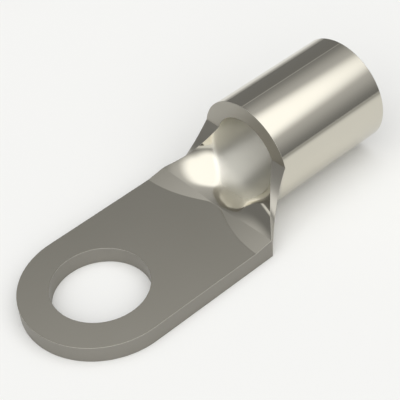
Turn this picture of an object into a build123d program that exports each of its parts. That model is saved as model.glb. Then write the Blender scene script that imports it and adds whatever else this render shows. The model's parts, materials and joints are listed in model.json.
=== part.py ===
"""Uninsulated ring terminal: one copper stamping, rolled, brazed and tin plated.

The origin is the centre of the stud hole, on the underside of the tongue.
+X runs along the barrel towards the wire, +Z is up, and sizes are in millimetres.
"""
import os

from build123d import *

# sheet that the whole terminal is stamped from
sheet = 1.25

# tongue: flat, with a full round end that is concentric with the stud hole
tongue_width = 11.0
stud_hole = 6.7

# barrel: the sheet rolled into a tube round the wire, its underside in line with the tongue's
barrel_bore = 5.45
barrel_length = 9.5
barrel_start = 13.4

# neck: the sheet curls up from the flat tongue into two wings that run into the barrel's wall
neck_length = 3.1
wing_height = 4.85

# neck halfway along, where the wings are drawn in to a waist and thinned at their edges
waist_width = 8.84
waist_height = 2.53
waist_edge_width = 0.54
waist_edge_rise = 0.42

# butt seam along the top of the barrel, closed by brazing to a shallow groove
seam_width = 0.16
seam_depth = 0.08

tip_radius = tongue_width / 2
bore_radius = barrel_bore / 2
barrel_radius = bore_radius + sheet
neck_start = barrel_start - neck_length
neck_middle = barrel_start - neck_length / 2
crown = 2 * barrel_radius


def on_circle(radius, height):
    """Point of the barrel's section at a height above the underside, on a circle round its axis."""
    return (radius**2 - (height - barrel_radius) ** 2) ** 0.5, height


def curled_section(inner_edge, outer_edge):
    """Half of the curled sheet's section, level at the bottom and ending in a cut edge."""
    with BuildSketch() as section:
        with BuildLine():
            inner = TangentArc((0, sheet), inner_edge, tangent=(1, 0))
            outer = TangentArc((0, 0), outer_edge, tangent=(1, 0))
            Line(inner @ 0, outer @ 0)
            Line(inner @ 1, outer @ 1)
        make_face()
    return section.sketch


waist_outer = (waist_width / 2, waist_height)
waist_inner = (waist_width / 2 - waist_edge_width, waist_height + waist_edge_rise)
waist_section = curled_section(waist_inner, waist_outer)
mouth_section = curled_section(
    on_circle(bore_radius, wing_height), on_circle(barrel_radius, wing_height)
)

with BuildPart() as terminal:
    # half of the neck, from the tongue's section through the waist to the barrel's section
    with BuildSketch(Plane.YZ.offset(neck_start)):
        Rectangle(tongue_width / 2, sheet, align=(Align.MIN, Align.MIN))
    with BuildSketch(Plane.YZ.offset(neck_middle)):
        add(waist_section)
    with BuildSketch(Plane.YZ.offset(barrel_start)):
        add(mouth_section)
    loft()
    mirror(about=Plane.XZ)

    # flat tongue with its stud hole
    with BuildSketch(Plane.XY):
        Circle(tip_radius)
        with Locations((neck_start / 2, 0)):
            Rectangle(neck_start, tongue_width)
        Circle(stud_hole / 2, mode=Mode.SUBTRACT)
    extrude(amount=sheet)

    # barrel, open at both ends
    with BuildSketch(Plane.YZ.offset(barrel_start)):
        with Locations((0, barrel_radius)):
            Circle(barrel_radius)
            Circle(bore_radius, mode=Mode.SUBTRACT)
    extrude(amount=barrel_length)

    # groove of the butt seam
    with BuildSketch(Plane.YZ.offset(barrel_start)):
        with BuildLine():
            Polyline(
                (-seam_width, crown + seam_depth),
                (seam_width, crown + seam_depth),
                (0, crown - seam_depth),
                close=True,
            )
        make_face()
    extrude(amount=barrel_length, mode=Mode.SUBTRACT)

terminal.part.label = "ring_terminal"

os.makedirs("parts", exist_ok=True)
export_step(terminal.part, "parts/ring_terminal.step")
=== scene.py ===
"""Uninsulated ring terminal of bright tin-plated copper on a pale studio floor.

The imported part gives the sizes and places. The terminal is one stamping, so it is modelled as one
closed skin of the sheet: a flat tongue, a neck that curls up into two wings, and a rolled barrel.
Lengths are in metres, in the part's own frame: the origin is the centre of the stud hole on the
underside of the tongue, +X runs along the barrel towards the wire and +Z is up.
"""
from __future__ import annotations

import json
import logging
import math
from collections.abc import Callable
from dataclasses import dataclass
from enum import Enum

import bmesh
import bpy
from mathutils import Matrix, Vector

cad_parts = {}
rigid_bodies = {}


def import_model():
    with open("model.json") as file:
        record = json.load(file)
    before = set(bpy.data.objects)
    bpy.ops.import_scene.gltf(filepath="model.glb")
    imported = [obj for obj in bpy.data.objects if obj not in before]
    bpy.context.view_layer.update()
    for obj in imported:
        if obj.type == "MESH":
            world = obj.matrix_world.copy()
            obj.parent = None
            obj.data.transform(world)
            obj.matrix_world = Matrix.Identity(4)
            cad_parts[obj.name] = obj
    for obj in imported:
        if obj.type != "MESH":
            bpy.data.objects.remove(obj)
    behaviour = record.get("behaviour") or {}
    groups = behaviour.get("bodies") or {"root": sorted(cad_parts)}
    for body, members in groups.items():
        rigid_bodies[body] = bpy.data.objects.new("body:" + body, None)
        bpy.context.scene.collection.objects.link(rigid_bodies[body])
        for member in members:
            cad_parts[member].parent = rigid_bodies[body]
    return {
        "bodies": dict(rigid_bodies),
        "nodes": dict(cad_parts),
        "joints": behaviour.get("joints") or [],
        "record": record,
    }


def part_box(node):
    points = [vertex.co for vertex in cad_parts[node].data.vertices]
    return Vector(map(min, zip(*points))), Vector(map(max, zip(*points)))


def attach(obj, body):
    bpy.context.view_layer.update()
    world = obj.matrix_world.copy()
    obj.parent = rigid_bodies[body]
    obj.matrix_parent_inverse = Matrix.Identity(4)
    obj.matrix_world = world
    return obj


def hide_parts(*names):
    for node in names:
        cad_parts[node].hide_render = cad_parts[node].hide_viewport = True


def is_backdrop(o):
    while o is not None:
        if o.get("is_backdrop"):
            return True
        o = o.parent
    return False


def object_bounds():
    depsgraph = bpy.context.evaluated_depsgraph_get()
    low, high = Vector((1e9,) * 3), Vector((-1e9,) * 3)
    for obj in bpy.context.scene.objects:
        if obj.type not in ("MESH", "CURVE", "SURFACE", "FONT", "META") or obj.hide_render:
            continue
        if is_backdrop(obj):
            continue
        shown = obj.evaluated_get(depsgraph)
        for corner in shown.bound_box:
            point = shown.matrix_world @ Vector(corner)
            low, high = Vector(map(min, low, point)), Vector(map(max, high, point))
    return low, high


MM = 0.001
LOG = logging.getLogger("ring_terminal")
NODE = "ring_terminal"

# face attribute that says how dull and how dark a sheared edge is: the punch tears the blanked
# outline and the hole, while rolling rubs the wings' edges and the barrel's ends a little smoother.
# The darker colour it gives is partly that torn tin and partly painted shade, strongest on the
# blanked outline
CUT_DULLNESS_AND_SHADE = "cut_dullness_and_shade"
BLANKED = 1.0
BURNISHED = 0.7

# sockets of a colour Mix node, whose names are shared with its other kinds of value
FIRST_COLOUR = 6
SECOND_COLOUR = 7
MIXED_COLOUR = 2

# direction from the terminal to the overhead light, which hangs a little towards the camera
OVERHEAD = (-0.214, -0.337, 0.917)


def linear_colour(code: str) -> tuple[float, float, float, float]:
    """Turn an sRGB hex value into a linear colour with full alpha.

    Args:
        code: six hex digits, such as "c8c4bb".

    Returns:
        Red, green, blue and alpha for a shader socket.
    """
    channels = [int(code[i : i + 2], 16) / 255 for i in (0, 2, 4)]
    linear = [c / 12.92 if c <= 0.04045 else ((c + 0.055) / 1.055) ** 2.4 for c in channels]
    return linear[0], linear[1], linear[2], 1.0


def add_node(
    tree: bpy.types.NodeTree,
    kind: str,
    settings: dict | None = None,
    values: dict | None = None,
    links: dict | None = None,
) -> bpy.types.Node:
    """Add a shader node with its settings, socket values and incoming links.

    Args:
        tree: node tree that gets the node.
        kind: node type, such as "ShaderNodeTexNoise".
        settings: attributes of the node itself.
        values: input socket name or number to its value.
        links: input socket name or number to the output socket that feeds it.

    Returns:
        The new node.
    """
    node = tree.nodes.new(kind)
    for name, value in (settings or {}).items():
        setattr(node, name, value)
    for socket, value in (values or {}).items():
        node.inputs[socket].default_value = value
    for socket, source in (links or {}).items():
        tree.links.new(source, node.inputs[socket])
    return node


class SheetFace(Enum):
    """The two faces of the sheet, named by where they end up once the sheet is rolled."""

    INNER = "inner"
    OUTER = "outer"


@dataclass
class RingTerminal:
    """The stamped and rolled sheet, as one closed skin with lightly broken edges."""

    sheet: float
    tongue_radius: float
    hole_radius: float
    bore_radius: float
    barrel_length: float
    barrel_end: float
    axis_height: float
    # neck, drawn in and thinned to a waist halfway along
    neck_length: float = 3.1 * MM
    wing_height: float = 4.85 * MM
    waist_half_width: float = 4.42 * MM
    waist_height: float = 2.53 * MM
    waist_edge_width: float = 0.54 * MM
    waist_edge_rise: float = 0.42 * MM
    # low foot of each wing, where the tongue's upper face begins to curl
    foot_rise: float = 0.2 * MM
    foot_slope: float = 0.14
    foot_gap: float = 0.6 * MM
    foot_blend: float = 0.3 * MM
    # butt seam, which the braze and the plate all but fill
    seam_width: float = 0.09 * MM
    seam_depth: float = 0.01 * MM
    # corners of the sheared edges, rubbed round
    edge_break: float = 0.018 * MM
    edge_segments: int = 4
    # cells of the skin
    mouth_band: float = 0.8 * MM
    around_neck: int = 48
    along_neck: int = 28
    above_wings: int = 28
    quarter_turn: int = 40
    # what counts as a crease, as a face of the barrel's ends and as one point
    crease: float = math.radians(10)
    facing_end: float = 0.5
    weld: float = 0.002 * MM

    @classmethod
    def from_frame(cls, frame: dict) -> RingTerminal:
        """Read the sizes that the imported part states.


        Returns:
            The terminal with its sizes set.
        """
        mounts = {mount["name"]: mount for mount in frame["record"]["mounts"]}
        hole, barrel = mounts["stud_hole"], mounts["wire_barrel"]
        return cls(
            sheet=hole["dims"]["length_mm"] * MM,
            tongue_radius=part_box(NODE)[1].y,
            hole_radius=hole["dims"]["r_mm"] * MM,
            bore_radius=barrel["dims"]["r_mm"] * MM,
            barrel_length=barrel["dims"]["length_mm"] * MM,
            barrel_end=barrel["pos_m"][0],
            axis_height=barrel["pos_m"][2],
        )

    @property
    def barrel_start(self) -> float:
        """Where the neck's last section meets the full ring of the barrel."""
        return self.barrel_end - self.barrel_length

    @property
    def neck_start(self) -> float:
        """Where the flat tongue begins to curl."""
        return self.barrel_start - self.neck_length

    def ring_radius(self, face: SheetFace) -> float:
        """Radius of one face of the sheet in the barrel."""
        return self.bore_radius + (self.sheet if face is SheetFace.OUTER else 0.0)

    def rise(self, face: SheetFace) -> float:
        """Height of one face of the flat sheet above the underside."""
        return self.sheet if face is SheetFace.INNER else 0.0

    def wing_angle(self, face: SheetFace) -> float:
        """Angle round the barrel's axis from its lowest line up to the top of the wings."""
        lift = (self.wing_height - self.axis_height) / self.ring_radius(face)
        return math.pi / 2 + math.asin(lift)

    def arc_point(self, start_height: float, end: Vector, share: float) -> Vector:
        """Find a point on an arc that leaves the middle plane level and curls up to its end.

        Args:
            start_height: height of the arc on the middle plane.
            end: where the arc ends, across and up.
            share: how far along the arc, from 0 to 1.

        Returns:
            The point, across and up.
        """
        across, up = end.x, end.y - start_height
        if abs(up) < self.weld:
            return Vector((across * share, start_height))
        radius = (across**2 + up**2) / (2 * up)
        angle = math.atan2(across, radius - up) * share
        return Vector((radius * math.sin(angle), start_height + radius * (1 - math.cos(angle))))

    def foot_reach(self, across: float) -> float:
        """Distance across, counted from the flat gap between the two feet and blended in there."""
        past = across - self.foot_gap
        return past + math.hypot(past, self.foot_blend)

    def foot_height(self, share: float) -> float:
        """Find how far a wing's low foot stands above the flat sheet where the neck starts.

        Args:
            share: from the middle plane, 0, to the tongue's side, 1.

        Returns:
            The height: next to nothing on the flat between the two feet, and full at the side.
        """
        climbed = self.foot_reach(share * self.tongue_radius) / self.foot_reach(self.tongue_radius)
        return self.foot_rise * (1 - (1 - climbed) ** 2)

    def foot_point(self, share: float, along: float) -> Vector:
        """Find a point of the wing's foot, a shallow ramp out of the tongue's upper face.

        Args:
            share: from the middle plane, 0, to the tongue's side, 1.
            along: from the curved crease in the tongue, 0, to the start of the neck, 1.

        Returns:
            The point in the part's frame, on the +Y side.
        """
        rise = self.foot_height(share)
        back = rise / self.foot_slope * (1 - along)
        return Vector(
            (self.neck_start - back, share * self.tongue_radius, self.sheet + rise * along)
        )

    def neck_point(self, face: SheetFace, share: float, along: float) -> Vector:
        """Find a point of the neck, which sweeps smoothly through three sections of the sheet.

        The inner face starts on the feet of the wings and leaves them before the waist.

        Args:
            face: the sheet's face.
            share: from the middle plane, 0, to the wing's edge, 1.
            along: from the tongue, 0, to the barrel, 1.

        Returns:
            The point in the part's frame, on the +Y side.
        """
        inside = 1.0 if face is SheetFace.INNER else 0.0
        height = self.rise(face)
        flat_end = Vector((self.tongue_radius, height))
        waist_end = Vector(
            (
                self.waist_half_width - inside * self.waist_edge_width,
                self.waist_height + inside * self.waist_edge_rise,
            )
        )
        mouth_across = self.ring_radius(face) * math.sin(self.wing_angle(face))
        mouth_end = Vector((mouth_across, self.wing_height))
        # the parabola through the tongue's section, the waist halfway along and the barrel's mouth
        point = (
            self.arc_point(height, flat_end, share) * (2 * along - 1) * (along - 1)
            + self.arc_point(height, waist_end, share) * 4 * along * (1 - along)
            + self.arc_point(height, mouth_end, share) * along * (2 * along - 1)
        )
        # the foot is smoothed away by the waist
        fade = max(0.0, 1 - 2 * along)
        foot = inside * self.foot_height(share) * fade**2 * (3 - 2 * fade)
        return Vector((self.neck_start + along * self.neck_length, point.x, point.y + foot))

    def wing_edge_point(self, through: float, along: float) -> Vector:
        """Find a point of the wing's cut edge, which runs straight from face to face.

        Args:
            through: from the inner face, 0, to the outer face, 1.
            along: from the tongue, 0, to the barrel, 1.

        Returns:
            The point in the part's frame, on the +Y side.
        """
        inner = self.neck_point(SheetFace.INNER, 1.0, along)
        return inner.lerp(self.neck_point(SheetFace.OUTER, 1.0, along), through)

    def tongue_side_point(self, along: float, through: float) -> Vector:
        """Find a point of the tongue's straight side, from the round end to the wing's foot."""
        top = self.foot_point(1.0, 0.0)
        return Vector((along * top.x, top.y, through * top.z))

    def foot_side_point(self, along: float, through: float) -> Vector:
        """Find a point of the straight side beside the wing's foot."""
        top = self.foot_point(1.0, along)
        return Vector((top.x, top.y, through * top.z))

    def add_patch(
        self, bm: bmesh.types.BMesh, cells: tuple[int, int], place: Callable[[float, float], Vector]
    ) -> None:
        """Lay a grid and bend it to a formula.

        Args:
            bm: mesh that gets the patch.
            cells: how many cells the grid has each way.
            place: gives a point for two shares from 0 to 1.
        """
        grid = bmesh.ops.create_grid(bm, x_segments=cells[0], y_segments=cells[1], size=0.5)
        # the flat grid reaches half a unit each way from its middle
        for vert in grid["verts"]:
            vert.co = place(vert.co.x + 0.5, vert.co.y + 0.5)

    def spin_line(
        self,
        bm: bmesh.types.BMesh,
        points: list[Vector],
        centre: Vector,
        axis: Vector,
        stages: list[tuple[float, int]],
    ) -> None:
        """Spin a line round an axis in stages, which leaves a skin behind it.

        Args:
            bm: mesh that gets the skin.
            points: the line's points, in order.
            centre: a point on the axis.
            axis: direction of the axis.
            stages: angle and number of steps of each stage.
        """
        verts = [bm.verts.new(point) for point in points]
        geometry = [*verts, *(bm.edges.new(pair) for pair in zip(verts, verts[1:]))]
        for angle, steps in stages:
            spun = bmesh.ops.spin(
                bm, geom=geometry, cent=centre, axis=axis, angle=angle, steps=steps
            )
            geometry = spun["geom_last"]

    def add_cut_edges(self, bm: bmesh.types.BMesh, cut: bmesh.types.BMLayerItem) -> None:
        """Lay the sheared edge of one half: the blanked flat with its hole, and the wing.

        Args:
            bm: mesh that gets the edges.
            cut: face layer that says how dull and how dark a sheared edge is, the darkness partly
                painted shade.
        """
        up = Vector((0, 0, 1))
        through = up * self.sheet
        tip = Vector((0, self.tongue_radius, 0))
        hole = Vector((self.hole_radius, 0, 0))
        quarter = (math.pi / 2, self.quarter_turn)
        self.spin_line(bm, [tip, tip + through], Vector(), up, [quarter])
        self.add_patch(bm, (1, 1), self.tongue_side_point)
        self.add_patch(bm, (1, 1), self.foot_side_point)
        self.spin_line(bm, [hole, hole + through], Vector(), up, [quarter, quarter])
        blanked = set(bm.faces)
        self.add_patch(bm, (1, self.along_neck), self.wing_edge_point)
        for face in bm.faces:
            face[cut] = BLANKED if face in blanked else BURNISHED

    def add_sheet_faces(self, bm: bmesh.types.BMesh) -> None:
        """Lay the sheet's two faces on one half: round end, neck and barrel."""
        up = Vector((0, 0, 1))
        axis = Vector((-1, 0, 0))
        axis_foot = Vector((self.barrel_start, 0, self.axis_height))
        seam = math.asin(self.seam_width / 2 / self.ring_radius(SheetFace.OUTER))
        self.add_patch(bm, (self.around_neck, 1), self.foot_point)
        for face in SheetFace:
            height = up * self.rise(face)
            across = Vector((0, 1, 0))
            line = [height + across * self.hole_radius, height + across * self.tongue_radius]
            self.spin_line(bm, line, Vector(), up, [(math.pi / 2, self.quarter_turn)])

            self.add_patch(
                bm,
                (self.around_neck, self.along_neck),
                lambda share, along, face=face: self.neck_point(face, share, along),
            )

            lowest = axis_foot - up * self.ring_radius(face)
            line = [
                lowest + Vector((reach, 0, 0)) for reach in (0, self.mouth_band, self.barrel_length)
            ]
            wing = self.wing_angle(face)
            stages = [
                (wing, self.around_neck),
                (math.pi - seam - wing, self.above_wings),
                (seam, 1),
            ]
            self.spin_line(bm, line, axis_foot, axis, stages)

    def sink_seam(self, bm: bmesh.types.BMesh) -> None:
        """Lower the crown's middle line into the shallow groove of the brazed butt seam."""
        crown = self.axis_height + self.ring_radius(SheetFace.OUTER)
        for vert in bm.verts:
            if abs(vert.co.y) < self.weld and vert.co.z > crown - self.weld:
                vert.co.z -= self.seam_depth

    def close_ends(self, bm: bmesh.types.BMesh, cut: bmesh.types.BMLayerItem) -> None:
        """Close the barrel's two end faces and the tongue's two flat faces.

        Args:
            bm: mesh of both halves, welded.
            cut: face layer that says how dull and how dark a sheared edge is, the darkness partly
                painted shade.
        """
        back = [
            edge
            for edge in bm.edges
            if edge.is_boundary
            and all(abs(vert.co.x - self.barrel_end) < self.weld for vert in edge.verts)
        ]
        ring = bmesh.ops.bridge_loops(bm, edges=back)["faces"]
        rest = bmesh.ops.holes_fill(bm, edges=[e for e in bm.edges if e.is_boundary], sides=0)
        for face in ring + rest["faces"]:
            face.normal_update()
            face[cut] = BURNISHED if abs(face.normal.x) > self.facing_end else 0.0

    def is_crisp(self, edge: bmesh.types.BMEdge) -> bool:
        """Whether an edge is a crease, borders a flat or lies where the tongue meets the neck.

        Only the flats are faces of more than four corners.

        Args:
            edge: an edge of the closed skin.

        Returns:
            True where the shading breaks.
        """
        return (
            edge.calc_face_angle() > self.crease
            or any(len(face.verts) > 4 for face in edge.link_faces)
            or all(abs(vert.co.x - self.neck_start) < self.weld for vert in edge.verts)
        )

    def break_edges(self, bm: bmesh.types.BMesh, cut: bmesh.types.BMLayerItem) -> None:
        """Round the corners along the sheared edge, and keep the creases and the seam crisp.

        The rounding's own borders are crisp too, so that it bends no reflection in the flats.

        Args:
            bm: the closed skin.
            cut: face layer that says how dull and how dark a sheared edge is, the darkness partly
                painted shade.
        """
        corners = []
        for edge in bm.edges:
            first, second = (face[cut] > 0 for face in edge.link_faces)
            if first != second:
                corners.append(edge)
            elif self.is_crisp(edge):
                edge.smooth = False
        rounded = bmesh.ops.bevel(
            bm,
            geom=corners,
            offset=self.edge_break,
            offset_type="OFFSET",
            segments=self.edge_segments,
            profile=0.5,
            affect="EDGES",
            material=-1,
            clamp_overlap=False,
        )
        rounding = set(rounded["faces"])
        for face in rounding:
            face[cut] = BURNISHED
        for edge in bm.edges:
            if sum(face in rounding for face in edge.link_faces) == 1:
                edge.smooth = False

    def build(self, finish: bpy.types.Material) -> bpy.types.Object:
        """Make the terminal's skin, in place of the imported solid.

        Args:
            finish: material of the plated sheet.

        Returns:
            The piece, riding on the part's body.
        """
        bm = bmesh.new()
        cut = bm.faces.layers.float.new(CUT_DULLNESS_AND_SHADE)
        self.add_cut_edges(bm, cut)
        self.add_sheet_faces(bm)
        self.sink_seam(bm)
        bmesh.ops.mirror(
            bm, geom=[*bm.verts, *bm.edges, *bm.faces], axis="Y", merge_dist=self.weld
        )
        bmesh.ops.remove_doubles(bm, verts=bm.verts, dist=self.weld)
        self.close_ends(bm, cut)
        bmesh.ops.recalc_face_normals(bm, faces=bm.faces)
        self.break_edges(bm, cut)
        for face in bm.faces:
            face.smooth = True
        mesh = bpy.data.meshes.new("stamped_terminal")
        bm.to_mesh(mesh)
        LOG.info("stamped terminal: %d faces, closed %s", len(bm.faces), self.is_closed(bm))
        bm.free()
        mesh.materials.append(finish)

        piece = bpy.data.objects.new("stamped_terminal", mesh)
        bpy.context.scene.collection.objects.link(piece)
        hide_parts(NODE)
        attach(piece, "root")
        return piece

    def is_closed(self, bm: bmesh.types.BMesh) -> bool:
        """Whether every edge of the skin joins exactly two faces."""
        return all(edge.is_manifold for edge in bm.edges)


@dataclass(frozen=True)
class BrightTinPlate:
    """Bright tin electroplated over copper sheet: a smooth, faintly warm grey mirror.

    The brightener in the bath levels the plate, so reflections are sharp. What the eye still
    finds is the rolling grain of the sheet underneath and a little unevenness in the shine. The
    sheared edges are duller, and their colour is darker, partly as torn tin and partly as painted
    shade, which sets the outline off from the mirror of the flats. Deep in the bore the plating
    current is weak, and the tin comes out matte, as fine crystals that scatter light; its colour is
    painted near white, partly as whitish matte tin and partly as painted light that brightens the
    bore. The sheet was rolled round a mandrel, which left fine lines round the bore, so the shine
    there is spread along the barrel, and the eye gets one soft slanting band in place of a
    mirrored room.
    """

    tin: str = "d1cdc1"
    tin_in_shade: str = "ccc8bb"
    # darker colour of the sheared edges: partly torn tin, partly painted shade
    cut_tin_and_painted_shade: str = "96938c"
    # near-white colour deep in the bore: partly whitish matte tin, partly painted light
    bore_tin_and_painted_light: str = "f4f2e9"
    # slow drift of the tint, and clouds in the shine
    tint_patch: float = 5.0 * MM
    tint_detail: float = 2.0
    shine_patch: float = 1.6 * MM
    shine_detail: float = 3.0
    shine_low: float = 0.06
    shine_high: float = 0.10
    cut_roughness: float = 0.51
    matte_roughness: float = 0.55
    spread_turn: float = 0.25
    # where the tin turns matte and its colour is painted lighter: shares of the neck's length, the
    # barrel's length and the sheet
    matte_from: float = 0.15
    matte_until: float = 0.5
    matte_skirt: tuple[float, float] = (0.25, 0.05)
    # rolling lines, which are really a few hundredths of a millimetre apart: too fine for the
    # render, so they are drawn as coarse as they need to show
    grain_width: float = 0.11 * MM
    grain_length: float = 4.0 * MM
    grain_height: float = 0.0004 * MM
    grain_detail: float = 2.0

    def build(self, terminal: RingTerminal) -> bpy.types.Material:
        """Build the material.

        Args:
            terminal: gives the place and radius of the bore.

        Returns:
            The plated sheet's material.
        """
        material = bpy.data.materials.new("bright tin-plated copper sheet")
        material.use_nodes = True
        tree = material.node_tree
        tree.nodes.clear()
        place = add_node(tree, "ShaderNodeTexCoord").outputs["Object"]
        cut = add_node(
            tree, "ShaderNodeAttribute", settings={"attribute_name": CUT_DULLNESS_AND_SHADE}
        ).outputs["Fac"]
        matte = self.add_bore_mask(tree, place, cut, terminal)
        # the tangent runs round the barrel, and a quarter turn lays the spread shine along it
        round_axis = add_node(
            tree, "ShaderNodeTangent", settings={"direction_type": "RADIAL", "axis": "X"}
        )
        metal = add_node(
            tree,
            "ShaderNodeBsdfPrincipled",
            values={"Metallic": 1.0, "Anisotropic Rotation": self.spread_turn},
            links={
                "Base Color": self.add_colour(tree, place, cut, matte),
                "Roughness": self.add_shine(tree, place, cut, matte),
                "Anisotropic": matte,
                "Tangent": round_axis.outputs["Tangent"],
                "Normal": self.add_grain(tree, place),
            },
        )
        add_node(tree, "ShaderNodeOutputMaterial", links={"Surface": metal.outputs["BSDF"]})
        return material

    def add_colour(
        self,
        tree: bpy.types.NodeTree,
        place: bpy.types.NodeSocket,
        cut: bpy.types.NodeSocket,
        matte: bpy.types.NodeSocket,
    ) -> bpy.types.NodeSocket:
        """Colour the plate: a slow drift that keeps large flats from looking painted. The sheared
        edges are darker, partly as painted shade, and the bore is near white, partly as painted
        light.

        Args:
            tree: the material's node tree.
            place: place on the terminal.
            cut: how dull a sheared edge is, and 0 elsewhere; it darkens the colour, partly as
                painted shade.
            matte: 1 deep in the bore, where the colour turns near white, partly as painted light.

        Returns:
            The colour.
        """
        drift = add_node(
            tree,
            "ShaderNodeTexNoise",
            values={"Scale": 1 / self.tint_patch, "Detail": self.tint_detail},
            links={"Vector": place},
        )
        plate = add_node(
            tree,
            "ShaderNodeMix",
            settings={"data_type": "RGBA"},
            values={
                FIRST_COLOUR: linear_colour(self.tin),
                SECOND_COLOUR: linear_colour(self.tin_in_shade),
            },
            links={"Factor": drift.outputs["Fac"]},
        )
        # sheared edges darker: partly their torn tin, partly painted shade
        edged = add_node(
            tree,
            "ShaderNodeMix",
            settings={"data_type": "RGBA"},
            values={SECOND_COLOUR: linear_colour(self.cut_tin_and_painted_shade)},
            links={"Factor": cut, FIRST_COLOUR: plate.outputs[MIXED_COLOUR]},
        )
        # deep in the bore near white: partly whitish matte tin, partly painted light
        lined = add_node(
            tree,
            "ShaderNodeMix",
            settings={"data_type": "RGBA"},
            values={SECOND_COLOUR: linear_colour(self.bore_tin_and_painted_light)},
            links={"Factor": matte, FIRST_COLOUR: edged.outputs[MIXED_COLOUR]},
        )
        return lined.outputs[MIXED_COLOUR]

    def add_shine(
        self,
        tree: bpy.types.NodeTree,
        place: bpy.types.NodeSocket,
        cut: bpy.types.NodeSocket,
        matte: bpy.types.NodeSocket,
    ) -> bpy.types.NodeSocket:
        """Set the roughness: cloudy from handling in bulk, dull on cut edges and in the bore.

        Args:
            tree: the material's node tree.
            place: place on the terminal.
            cut: how dull a sheared edge is, and 0 elsewhere.
            matte: 1 deep in the bore.

        Returns:
            The roughness.
        """
        cloud = add_node(
            tree,
            "ShaderNodeTexNoise",
            values={"Scale": 1 / self.shine_patch, "Detail": self.shine_detail},
            links={"Vector": place},
        )
        shine = add_node(
            tree,
            "ShaderNodeMapRange",
            values={"To Min": self.shine_low, "To Max": self.shine_high},
            links={"Value": cloud.outputs["Fac"]},
        )
        edged = add_node(
            tree,
            "ShaderNodeMix",
            values={"B": self.cut_roughness},
            links={"Factor": cut, "A": shine.outputs["Result"]},
        )
        lined = add_node(
            tree,
            "ShaderNodeMix",
            values={"B": self.matte_roughness},
            links={"Factor": matte, "A": edged.outputs["Result"]},
        )
        return lined.outputs["Result"]

    def add_grain(
        self, tree: bpy.types.NodeTree, place: bpy.types.NodeSocket
    ) -> bpy.types.NodeSocket:
        """Raise the rolling grain of the sheet, drawn out along the terminal.

        Args:
            tree: the material's node tree.
            place: place on the terminal.

        Returns:
            The shading normal.
        """
        stretch = add_node(
            tree,
            "ShaderNodeMapping",
            values={"Scale": (1 / self.grain_length, 1 / self.grain_width, 1 / self.grain_width)},
            links={"Vector": place},
        )
        grain = add_node(
            tree,
            "ShaderNodeTexNoise",
            values={"Scale": 1.0, "Detail": self.grain_detail},
            links={"Vector": stretch.outputs["Vector"]},
        )
        bump = add_node(
            tree,
            "ShaderNodeBump",
            values={"Distance": self.grain_height},
            links={"Height": grain.outputs["Fac"]},
        )
        return bump.outputs["Normal"]

    def add_bore_mask(
        self,
        tree: bpy.types.NodeTree,
        place: bpy.types.NodeSocket,
        cut: bpy.types.NodeSocket,
        terminal: RingTerminal,
    ) -> bpy.types.NodeSocket:
        """Mark the bore's wall, fading in along the trough of the neck.

        Args:
            tree: the material's node tree.
            place: place on the terminal.
            cut: how dull a sheared edge is, and 0 elsewhere. The edges stay out.
            terminal: gives the place and radius of the bore.

        Returns:
            A value from 0 outside to 1 in the bore.
        """
        centred = add_node(
            tree,
            "ShaderNodeMapping",
            values={"Location": (0, 0, -terminal.axis_height), "Scale": (0, 1, 1)},
            links={"Vector": place},
        )
        radius = add_node(
            tree,
            "ShaderNodeVectorMath",
            settings={"operation": "LENGTH"},
            links={0: centred.outputs["Vector"]},
        )
        inside = add_node(
            tree,
            "ShaderNodeMapRange",
            settings={"interpolation_type": "SMOOTHSTEP"},
            values={
                "From Min": terminal.bore_radius + terminal.sheet * self.matte_skirt[0],
                "From Max": terminal.bore_radius + terminal.sheet * self.matte_skirt[1],
            },
            links={"Value": radius.outputs["Value"]},
        )
        along = add_node(tree, "ShaderNodeSeparateXYZ", links={"Vector": place})
        front = (
            terminal.neck_start + terminal.neck_length * self.matte_from,
            terminal.barrel_start,
        )
        back = (
            terminal.barrel_end,
            terminal.barrel_end - terminal.barrel_length * self.matte_until,
        )
        depths = [
            add_node(
                tree,
                "ShaderNodeMapRange",
                settings={"interpolation_type": "SMOOTHSTEP"},
                values={"From Min": mouth, "From Max": deep},
                links={"Value": along.outputs["X"]},
            )
            for mouth, deep in (front, back)
        ]
        mask = add_node(
            tree,
            "ShaderNodeMath",
            settings={"operation": "LESS_THAN"},
            values={1: BURNISHED / 2},
            links={0: cut},
        ).outputs["Value"]
        for part in (inside, *depths):
            mask = add_node(
                tree,
                "ShaderNodeMath",
                settings={"operation": "MULTIPLY"},
                links={0: mask, 1: part.outputs["Result"]},
            ).outputs["Value"]
        return mask


@dataclass(frozen=True)
class SoftLight:
    """A large round light, far away and plain white, whose rim fades softly into the room.

    Its two angles, in degrees from the light's middle, are where it ends and where it is full.
    """

    towards: tuple[float, float, float]
    strength: float
    ends: float
    full: float

    def add_glow(
        self, tree: bpy.types.NodeTree, direction: bpy.types.NodeSocket
    ) -> bpy.types.NodeSocket:
        """Add the light to a world.

        Args:
            tree: the world's node tree.
            direction: where a ray goes.

        Returns:
            How brightly the light shines from there.
        """
        cosine = add_node(
            tree,
            "ShaderNodeVectorMath",
            settings={"operation": "DOT_PRODUCT"},
            values={1: Vector(self.towards).normalized()},
            links={0: direction},
        )
        angle = add_node(
            tree,
            "ShaderNodeMath",
            settings={"operation": "ARCCOSINE"},
            links={0: cosine.outputs["Value"]},
        )
        glow = add_node(
            tree,
            "ShaderNodeMapRange",
            settings={"interpolation_type": "SMOOTHSTEP"},
            values={
                "From Min": math.radians(self.ends),
                "From Max": math.radians(self.full),
                "To Max": self.strength,
            },
            links={"Value": angle.outputs["Value"]},
        )
        return glow.outputs["Result"]


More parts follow.
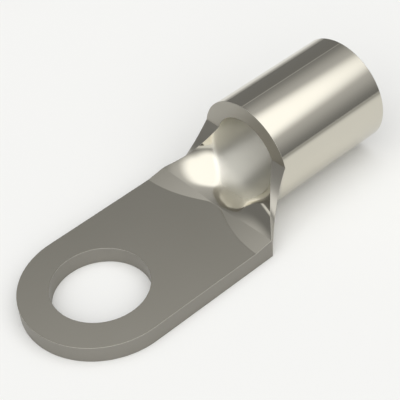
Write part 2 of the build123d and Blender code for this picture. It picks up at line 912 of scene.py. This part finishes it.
@dataclass(frozen=True)
class Studio:
    """Pale floor in a grey room, lit by a soft light overhead and a lower one past the tip.

    The two meet without adding up, and a straight screen ends both on the far side, which gives
    the neck's bright spot its round shape. The overhead light has a wide, weak halo. The floor's
    colour is painted darker away from the terminal, into the room's grey: a painted pool of light.
    """

    floor_half: float = 1.4
    floor_gap: float = 0.02 * MM
    floor_near: str = "efefed"
    # darker floor colour far from the terminal: painted shade round a painted pool of light
    floor_far_painted_shade: str = "b0b0ae"
    floor_roughness: float = 0.9
    # distances over which the painted pool of light fades to the far colour
    painted_pool_start: float = 30 * MM
    painted_pool_end: float = 90 * MM
    room: float = 0.225
    overhead: SoftLight = SoftLight(OVERHEAD, strength=1.0, ends=55.0, full=45.0)
    halo: SoftLight = SoftLight(OVERHEAD, strength=0.42, ends=81.0, full=48.0)
    past_tip: SoftLight = SoftLight((-0.527, -0.369, 0.766), strength=1.0, ends=54.0, full=34.0)
    screen_facing: tuple[float, float, float] = (0.19, -0.93, 0.305)
    screen_shuts: float = -0.28
    screen_clears: float = 0.02

    def build_paint(self, centre: Vector) -> bpy.types.Material:
        """Build the floor's matt paint, whose colour darkens away from the centre as a painted pool
        of light.

        Args:
            centre: middle of the pale area, the painted pool of light.

        Returns:
            The floor's material.
        """
        material = bpy.data.materials.new("matt floor with painted pool of light")
        material.use_nodes = True
        tree = material.node_tree
        tree.nodes.clear()
        place = add_node(tree, "ShaderNodeTexCoord").outputs["Object"]
        distance = add_node(
            tree,
            "ShaderNodeVectorMath",
            settings={"operation": "DISTANCE"},
            values={1: (centre.x, centre.y, -self.floor_gap)},
            links={0: place},
        )
        # painted pool of light: the floor's colour darkens with distance from the terminal
        fade = add_node(
            tree,
            "ShaderNodeMapRange",
            settings={"interpolation_type": "SMOOTHSTEP"},
            values={"From Min": self.painted_pool_start, "From Max": self.painted_pool_end},
            links={"Value": distance.outputs["Value"]},
        )
        colour = add_node(
            tree,
            "ShaderNodeMix",
            settings={"data_type": "RGBA"},
            values={
                FIRST_COLOUR: linear_colour(self.floor_near),
                SECOND_COLOUR: linear_colour(self.floor_far_painted_shade),
            },
            links={"Factor": fade.outputs["Result"]},
        )
        paint = add_node(
            tree,
            "ShaderNodeBsdfPrincipled",
            values={"Roughness": self.floor_roughness, "Specular IOR Level": 0.0},
            links={"Base Color": colour.outputs[MIXED_COLOUR]},
        )
        add_node(tree, "ShaderNodeOutputMaterial", links={"Surface": paint.outputs["BSDF"]})
        return material

    def build_floor(self, centre: Vector) -> bpy.types.Object:
        """Lay the floor, with its painted pool of light, just under the terminal.

        Args:
            centre: middle of the pale area, the painted pool of light.

        Returns:
            The floor, marked as stage.
        """
        bm = bmesh.new()
        bmesh.ops.create_grid(bm, x_segments=1, y_segments=1, size=self.floor_half)
        bmesh.ops.translate(bm, verts=bm.verts, vec=(0, 0, -self.floor_gap))
        mesh = bpy.data.meshes.new("studio_floor")
        bm.to_mesh(mesh)
        bm.free()
        mesh.materials.append(self.build_paint(centre))
        floor = bpy.data.objects.new("studio_floor", mesh)
        bpy.context.scene.collection.objects.link(floor)
        floor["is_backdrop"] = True
        return floor

    def build_light(self) -> None:
        """Light the grey room by the two soft lights, as far as the screen, and by the halo."""
        world = bpy.data.worlds.new("grey studio room")
        bpy.context.scene.world = world
        world.use_nodes = True
        tree = world.node_tree
        tree.nodes.clear()
        direction = add_node(tree, "ShaderNodeTexCoord").outputs["Generated"]
        both = add_node(
            tree,
            "ShaderNodeMath",
            settings={"operation": "MAXIMUM"},
            links={
                0: self.overhead.add_glow(tree, direction),
                1: self.past_tip.add_glow(tree, direction),
            },
        )
        facing = add_node(
            tree,
            "ShaderNodeVectorMath",
            settings={"operation": "DOT_PRODUCT"},
            values={1: Vector(self.screen_facing).normalized()},
            links={0: direction},
        )
        past_screen = add_node(
            tree,
            "ShaderNodeMapRange",
            settings={"interpolation_type": "SMOOTHSTEP"},
            values={"From Min": self.screen_shuts, "From Max": self.screen_clears},
            links={"Value": facing.outputs["Value"]},
        )
        lit = add_node(
            tree,
            "ShaderNodeMath",
            settings={"operation": "MULTIPLY_ADD"},
            links={
                0: both.outputs["Value"],
                1: past_screen.outputs["Result"],
                2: self.halo.add_glow(tree, direction),
            },
        )
        total = add_node(
            tree,
            "ShaderNodeMath",
            settings={"operation": "ADD"},
            values={1: self.room},
            links={0: lit.outputs["Value"]},
        )
        light = add_node(
            tree,
            "ShaderNodeBackground",
            values={"Color": (1, 1, 1, 1)},
            links={"Strength": total.outputs["Value"]},
        )
        add_node(tree, "ShaderNodeOutputWorld", links={"Surface": light.outputs["Background"]})

    def build(self, centre: Vector) -> None:
        """Set up the floor and the light.

        Args:
            centre: middle of the terminal.
        """
        self.build_floor(centre)
        self.build_light()
        LOG.info("studio: pale floor and two soft lights")


@dataclass(frozen=True)
class StillCamera:
    """Long-lens camera that looks down on the terminal from the tongue's side."""

    position: tuple[float, float, float] = (-31.222 * MM, -52.373 * MM, 62.298 * MM)
    azimuth: float = -37.522
    elevation: float = 42.118
    roll: float = -6.965
    lens: float = 118.6
    film_width: float = 36.0
    nearest: float = 5 * MM
    farthest: float = 5.0

    def build(self) -> bpy.types.Object:
        """Place the camera and make it the scene's own.

        Returns:
            The camera.
        """
        turn = math.radians(self.azimuth)
        tilt = math.radians(self.elevation)
        back = Vector(
            (
                math.sin(turn) * math.cos(tilt),
                -math.cos(turn) * math.cos(tilt),
                math.sin(tilt),
            )
        )
        level = Vector((0, 0, 1)).cross(back).normalized()
        facing = Matrix((level, back.cross(level), back)).transposed().to_4x4()
        lean = Matrix.Rotation(math.radians(self.roll), 4, "Z")
        optics = bpy.data.cameras.new("still camera")
        optics.lens = self.lens
        optics.sensor_width = self.film_width
        optics.clip_start = self.nearest
        optics.clip_end = self.farthest
        camera = bpy.data.objects.new("still camera", optics)
        camera.matrix_world = Matrix.Translation(self.position) @ facing @ lean
        bpy.context.scene.collection.objects.link(camera)
        bpy.context.scene.camera = camera
        return camera


def main() -> None:
    """Build the terminal, the studio and the camera."""
    logging.basicConfig(level=logging.INFO, format="%(name)s: %(message)s")
    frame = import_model()
    cad_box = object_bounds()
    terminal = RingTerminal.from_frame(frame)
    terminal.build(BrightTinPlate().build(terminal))
    Studio().build((cad_box[0] + cad_box[1]) / 2)
    StillCamera().build()
    bpy.context.scene.view_settings.view_transform = "Standard"


if __name__ == "__main__":
    main()
